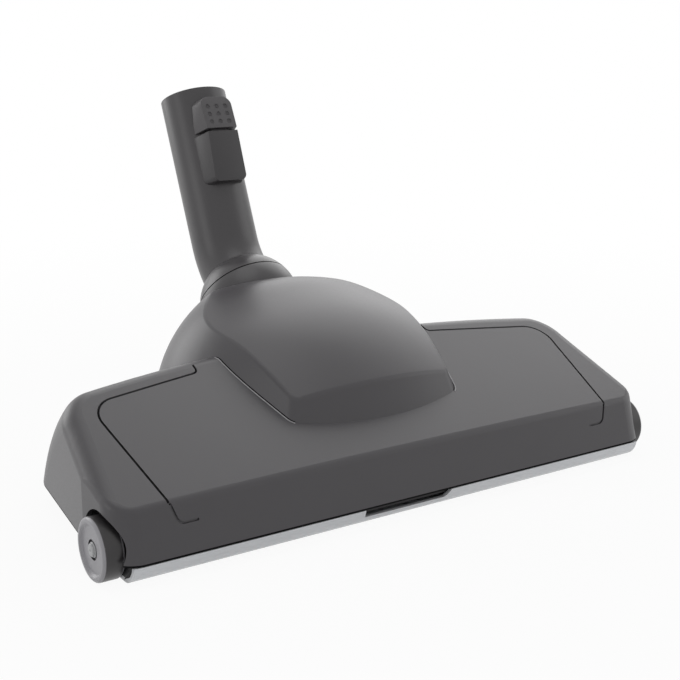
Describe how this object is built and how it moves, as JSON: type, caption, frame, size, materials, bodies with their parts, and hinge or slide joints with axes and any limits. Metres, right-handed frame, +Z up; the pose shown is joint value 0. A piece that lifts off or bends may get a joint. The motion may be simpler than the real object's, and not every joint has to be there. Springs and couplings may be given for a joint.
{
  "type": "turbine floor brush head",
  "caption": "Floor brush head for a vacuum cleaner: an air turbine drives a brush roll under a domed cover, with wheels and a tilting, swivelling neck that latches onto a wand.",
  "frame": {"origin": "on the floor under the middle of the whole part", "axes": "+X across the head to the right seen from behind it, +Y back towards the neck, +Z up from the floor"},
  "size_m": [0.293, 0.2206, 0.1794],
  "materials": {
    "cover_plastic": "satin moulded",
    "base_plastic": "matte moulded",
    "sole_plastic": "satin moulded",
    "zinc_steel": "plated",
    "wheel_plastic": "satin moulded",
    "axle_plastic": "satin moulded",
    "roller_plastic": "matte moulded",
    "core_plastic": "matte moulded",
    "bristle_nylon": "brush fibre",
    "drive_plastic": "moulded",
    "bearing_bronze": "sintered",
    "belt_rubber": "matte",
    "turbine_plastic": "moulded",
    "knuckle_plastic": "satin moulded",
    "neck_plastic": "satin moulded",
    "latch_plastic": "satin moulded"
  },
  "bodies": {
    "housing": {"top_cover": "cover_plastic", "base_housing": "base_plastic", "sole_plate": "sole_plastic", "housing_screws": "zinc_steel", "front_axle_left": "axle_plastic", "front_axle_right": "axle_plastic", "rear_axle_left": "zinc_steel", "rear_axle_right": "zinc_steel", "brush_bearing_left": "bearing_bronze", "brush_bearing_right": "bearing_bronze", "turbine_bearing_left": "bearing_bronze", "turbine_bearing_right": "bearing_bronze", "turbine_housing": "base_plastic", "turbine_cap": "base_plastic", "ball_seat": "base_plastic", "drive_belt": "belt_rubber"},
    "front_wheel_left": {"front_wheel_left": "wheel_plastic"},
    "front_wheel_right": {"front_wheel_right": "wheel_plastic"},
    "rear_roller_left": {"rear_roller_left": "roller_plastic"},
    "rear_roller_right": {"rear_roller_right": "roller_plastic"},
    "brush_roll": {"brush_core": "core_plastic", "bristle_rows": "bristle_nylon", "brush_pulley": "drive_plastic", "brush_shaft_left": "zinc_steel", "brush_shaft_right": "zinc_steel"},
    "turbine": {"turbine_wheel": "turbine_plastic", "turbine_shaft": "zinc_steel", "drive_pinion": "drive_plastic"},
    "knuckle": {"neck_ball": "knuckle_plastic"},
    "neck": {"neck_tube": "neck_plastic", "swivel_ring": "base_plastic", "latch_housing": "latch_plastic", "latch_pin": "zinc_steel", "latch_spring": "zinc_steel"},
    "latch": {"latch_button": "latch_plastic"}
  },
  "joints": [
    {"name": "front_wheel_left_spin", "type": "hinge", "parent": "housing", "child": "front_wheel_left", "pos_m": [-0.1418, -0.09123, 0.0132], "axis": [1, 0, 0], "continuous": true},
    {"name": "front_wheel_right_spin", "type": "hinge", "parent": "housing", "child": "front_wheel_right", "pos_m": [0.1418, -0.09123, 0.0132], "axis": [1, 0, 0], "continuous": true},
    {"name": "rear_roller_left_spin", "type": "hinge", "parent": "housing", "child": "rear_roller_left", "pos_m": [-0.042, 0.02677, 0.008], "axis": [1, 0, 0], "continuous": true},
    {"name": "rear_roller_right_spin", "type": "hinge", "parent": "housing", "child": "rear_roller_right", "pos_m": [0.042, 0.02677, 0.008], "axis": [1, 0, 0], "continuous": true},
    {"name": "brush_spin", "type": "hinge", "parent": "housing", "child": "brush_roll", "pos_m": [0, -0.07323, 0.0182], "axis": [1, 0, 0], "continuous": true},
    {"name": "turbine_spin", "type": "hinge", "parent": "housing", "child": "turbine", "pos_m": [0, -0.02923, 0.046], "axis": [1, 0, 0], "continuous": true},
    {"name": "neck_tilt", "type": "hinge", "parent": "housing", "child": "knuckle", "pos_m": [0, 0.03597, 0.0698], "axis": [-1, 0, 0], "range_deg": [-20, 50]},
    {"name": "neck_swivel", "type": "hinge", "parent": "knuckle", "child": "neck", "pos_m": [0, 0.03597, 0.0698], "axis": [0, 0.7466, 0.6652], "range_deg": [-90, 90]},
    {"name": "latch_press", "type": "hinge", "parent": "neck", "child": "latch", "pos_m": [0, 0.06404, 0.15335], "axis": [-1, 0, 0], "range_deg": [0, 4], "stiffness_Nm_per_rad": 1, "springref_deg": -4.01, "deforming": ["latch_spring"]}
  ],
  "couplings": [
    {"joint": "turbine_spin", "follows": "brush_spin", "ratio": 2.25}
  ]
}
